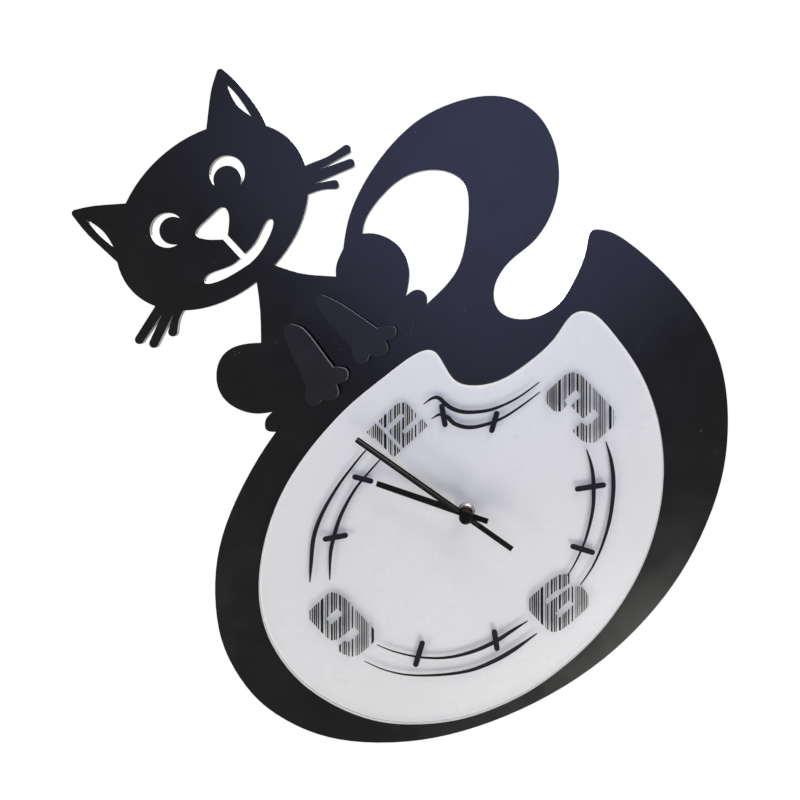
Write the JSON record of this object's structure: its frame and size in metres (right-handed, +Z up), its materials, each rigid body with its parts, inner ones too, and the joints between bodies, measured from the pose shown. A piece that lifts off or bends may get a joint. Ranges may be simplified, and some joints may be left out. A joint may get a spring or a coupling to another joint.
{
  "type": "wall clock",
  "caption": "Wall clock cut from flat black acrylic as a cat sitting on an oval dial, its tail curled down beside it, with a quartz movement behind and plain tapered hands.",
  "frame": {"origin": "the nail the clock hangs on, where it meets the wall's face, over the centre of mass", "axes": "+X to the right as the clock is seen from the front, +Y into the wall, so the dial faces -Y, +Z up"},
  "size_m": [0.3985, 0.0419, 0.4587],
  "materials": {
    "plate_acrylic": "satin black acrylic, cut edges a little lighter",
    "leg_acrylic": "satin black acrylic, cut edges light grey",
    "back_acrylic": "black acrylic offcuts",
    "white_acrylic": "white, slightly glossy",
    "clear_acrylic": "clear polished acrylic with the numerals and the broken minute ring printed on it",
    "spacer_plastic": "plain black",
    "hand_paint": "matt black paint",
    "cap_paint": "satin black paint",
    "hand_bush_brass": "plain brass",
    "clamp_brass": "turned brass",
    "rubber": "matt black",
    "case_plastic": "fine-grained moulded black",
    "knob_plastic": "moulded black",
    "wheel_plastic": "moulded natural white",
    "shaft_steel": "turned steel",
    "rotor_magnet": "dark plastic-bonded magnet",
    "stator_steel": "stamped steel",
    "coil_wire": "enamelled copper wire",
    "board": "green solder mask",
    "crystal_can": "drawn can",
    "chip_resin": "blob of black resin",
    "battery_wrap": "plain shrink wrap with bare metal ends",
    "contact_steel": "plated spring strip",
    "hanger_steel": "zinc plated"
  },
  "bodies": {
    "case": {"body_plate": "plate_acrylic", "dial_backing": "white_acrylic", "dial_cover": "clear_acrylic", "left_leg": "leg_acrylic", "right_leg": "leg_acrylic", "left_leg_spacer_upper": "spacer_plastic", "left_leg_spacer_lower": "spacer_plastic", "right_leg_spacer_upper": "spacer_plastic", "right_leg_spacer_lower": "spacer_plastic", "rubber_gasket": "rubber", "washer": "clamp_brass", "shaft_nut": "clamp_brass", "front_case": "case_plastic", "rear_cover": "case_plastic", "stator": "stator_steel", "coil": "coil_wire", "circuit_board": "board", "quartz_crystal": "crystal_can", "control_chip": "chip_resin", "battery": "battery_wrap", "battery_contact_positive": "contact_steel", "battery_contact_negative": "contact_steel", "hanger_block": "back_acrylic", "hanger_plate": "hanger_steel", "hanger_screw_left": "hanger_steel", "hanger_screw_right": "hanger_steel", "standoff_head": "back_acrylic", "standoff_tail": "back_acrylic", "standoff_lower_left": "back_acrylic", "standoff_lower_right": "back_acrylic", "wall_pad_head": "rubber", "wall_pad_tail": "rubber", "wall_pad_lower_left": "rubber", "wall_pad_lower_right": "rubber"},
    "minute": {"minute_hand": "hand_paint", "minute_hand_bush": "hand_bush_brass", "hand_cap": "cap_paint", "minute_shaft": "shaft_steel"},
    "hour": {"hour_hand": "hand_paint", "hour_hand_bush": "hand_bush_brass", "hour_wheel": "wheel_plastic"},
    "minute_wheel": {"minute_wheel": "wheel_plastic"},
    "setting": {"setting_arbor": "wheel_plastic", "setting_knob": "knob_plastic"},
    "centre_wheel": {"centre_wheel": "wheel_plastic"},
    "third_wheel": {"third_wheel": "wheel_plastic"},
    "seconds_wheel": {"seconds_wheel": "wheel_plastic"},
    "intermediate_wheel": {"intermediate_wheel": "wheel_plastic"},
    "rotor": {"rotor": "rotor_magnet"}
  },
  "joints": [
    {"name": "minute_hand_turn", "type": "hinge", "parent": "case", "child": "minute", "pos_m": [-0.00643, -0.014, -0.1504], "axis": [0, 1, 0], "continuous": true},
    {"name": "minute_wheel_turn", "type": "hinge", "parent": "case", "child": "minute_wheel", "pos_m": [-0.01267, -0.014, -0.1468], "axis": [0, 1, 0], "continuous": true},
    {"name": "hour_hand_turn", "type": "hinge", "parent": "case", "child": "hour", "pos_m": [-0.00643, -0.016, -0.1504], "axis": [0, 1, 0], "continuous": true},
    {"name": "setting_knob_turn", "type": "hinge", "parent": "case", "child": "setting", "pos_m": [-0.0189, -0.008, -0.1432], "axis": [0, 1, 0], "continuous": true},
    {"name": "seconds_wheel_turn", "type": "hinge", "parent": "case", "child": "seconds_wheel", "pos_m": [-0.00326, -0.009, -0.13462], "axis": [0, 1, 0], "continuous": true},
    {"name": "third_wheel_turn", "type": "hinge", "parent": "case", "child": "third_wheel", "pos_m": [0.00184, -0.011, -0.14346], "axis": [0, 1, 0], "continuous": true},
    {"name": "centre_wheel_turn", "type": "hinge", "parent": "case", "child": "centre_wheel", "pos_m": [-0.00643, -0.012, -0.1504], "axis": [0, 1, 0], "continuous": true},
    {"name": "intermediate_wheel_turn", "type": "hinge", "parent": "case", "child": "intermediate_wheel", "pos_m": [-0.00866, -0.008, -0.13462], "axis": [0, 1, 0], "continuous": true},
    {"name": "rotor_turn", "type": "hinge", "parent": "case", "child": "rotor", "pos_m": [-0.01328, -0.009, -0.13462], "axis": [0, 1, 0], "continuous": true}
  ],
  "couplings": [
    {"joint": "minute_wheel_turn", "follows": "minute_hand_turn", "ratio": -0.33333},
    {"joint": "hour_hand_turn", "follows": "minute_hand_turn", "ratio": 0.083333},
    {"joint": "setting_knob_turn", "follows": "minute_hand_turn", "ratio": 1},
    {"joint": "third_wheel_turn", "follows": "seconds_wheel_turn", "ratio": -0.13333},
    {"joint": "centre_wheel_turn", "follows": "seconds_wheel_turn", "ratio": 0.016667},
    {"joint": "intermediate_wheel_turn", "follows": "seconds_wheel_turn", "ratio": -5},
    {"joint": "rotor_turn", "follows": "seconds_wheel_turn", "ratio": 30}
  ]
}
